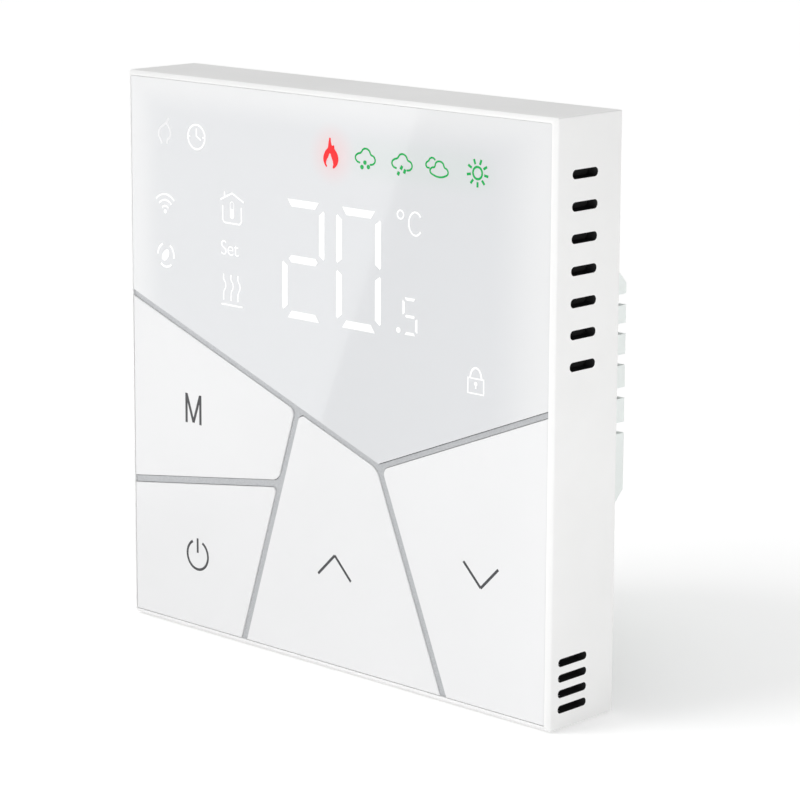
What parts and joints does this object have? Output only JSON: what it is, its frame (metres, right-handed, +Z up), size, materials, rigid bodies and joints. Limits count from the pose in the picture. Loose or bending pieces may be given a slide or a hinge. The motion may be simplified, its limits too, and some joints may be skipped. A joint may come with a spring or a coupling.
{
  "type": "wall thermostat",
  "caption": "Square wall thermostat with a lit display, four push keys in a silver frame, and a deep rear housing with terminals for the wall box.",
  "frame": {"origin": "centre of the wall plane that the base plate lies on", "axes": "+Y into the wall, the face looks along -Y, +Z up, +X to the right seen from the front"},
  "size_m": [0.086, 0.038, 0.086],
  "materials": {
    "shell_white": "fine matte moulded grain",
    "key_white": "satin gloss",
    "lens_grey": "polished, light grey, lets the display's light through",
    "silver": "silver paint on plastic, satin",
    "reflector_white": "matte white",
    "steel": "zinc-plated, satin",
    "board_green": "green solder mask on glass-fibre board",
    "shield_can": "tinned sheet",
    "black_plastic": "matte moulded",
    "terminal_green": "matte moulded",
    "relay_blue": "matte moulded",
    "coil_yellow": "winding tape",
    "capacitor_sleeve": "shrink sleeve",
    "film_grey": "matte moulded",
    "varistor_blue": "dipped coating",
    "pin_gold": "gold-plated pins in a black strip"
  },
  "bodies": {
    "rear_unit": {"base_plate": "steel", "rear_housing": "shell_white", "power_board": "board_green", "relay": "relay_blue", "transformer": "coil_yellow", "film_capacitor": "film_grey", "fuse": "black_plastic", "input_capacitor": "capacitor_sleeve", "output_capacitor": "capacitor_sleeve", "varistor": "varistor_blue", "link_socket": "black_plastic", "terminal_block": "terminal_green", "terminal_screw_1": "steel", "terminal_screw_2": "steel", "terminal_screw_3": "steel", "terminal_screw_4": "steel", "terminal_screw_5": "steel", "terminal_screw_6": "steel", "terminal_screw_7": "steel", "terminal_screw_8": "steel", "housing_screw_1": "steel", "housing_screw_2": "steel", "housing_screw_3": "steel", "housing_screw_4": "steel"},
    "front_unit": {"front_case": "shell_white", "key_frame": "silver", "display_lens": "lens_grey", "display_module": "reflector_white", "display_board": "board_green", "room_sensor": "black_plastic", "wifi_module": "shield_can", "link_header": "pin_gold", "inner_cover": "shell_white", "menu_switch": "black_plastic", "power_switch": "black_plastic", "up_switch": "black_plastic", "down_switch": "black_plastic", "cover_screw_1": "steel", "cover_screw_2": "steel", "cover_screw_3": "steel", "cover_screw_4": "steel"},
    "menu_key": {"menu_key": "key_white", "menu_plunger": "black_plastic"},
    "power_key": {"power_key": "key_white", "power_plunger": "black_plastic"},
    "up_key": {"up_key": "key_white", "up_plunger": "black_plastic"},
    "down_key": {"down_key": "key_white", "down_plunger": "black_plastic"}
  },
  "joints": [
    {"name": "front_unit_release", "type": "slide", "parent": "rear_unit", "child": "front_unit", "axis": [0, -1, 0], "range_m": [0, 0.03]},
    {"name": "menu_key_press", "type": "slide", "parent": "front_unit", "child": "menu_key", "axis": [0, 1, 0], "range_m": [0, 0.0005], "stiffness_N_per_m": 2000, "springref_m": -0.0003},
    {"name": "power_key_press", "type": "slide", "parent": "front_unit", "child": "power_key", "axis": [0, 1, 0], "range_m": [0, 0.0005], "stiffness_N_per_m": 2000, "springref_m": -0.0003},
    {"name": "up_key_press", "type": "slide", "parent": "front_unit", "child": "up_key", "axis": [0, 1, 0], "range_m": [0, 0.0005], "stiffness_N_per_m": 2000, "springref_m": -0.0003},
    {"name": "down_key_press", "type": "slide", "parent": "front_unit", "child": "down_key", "axis": [0, 1, 0], "range_m": [0, 0.0005], "stiffness_N_per_m": 2000, "springref_m": -0.0003}
  ]
}
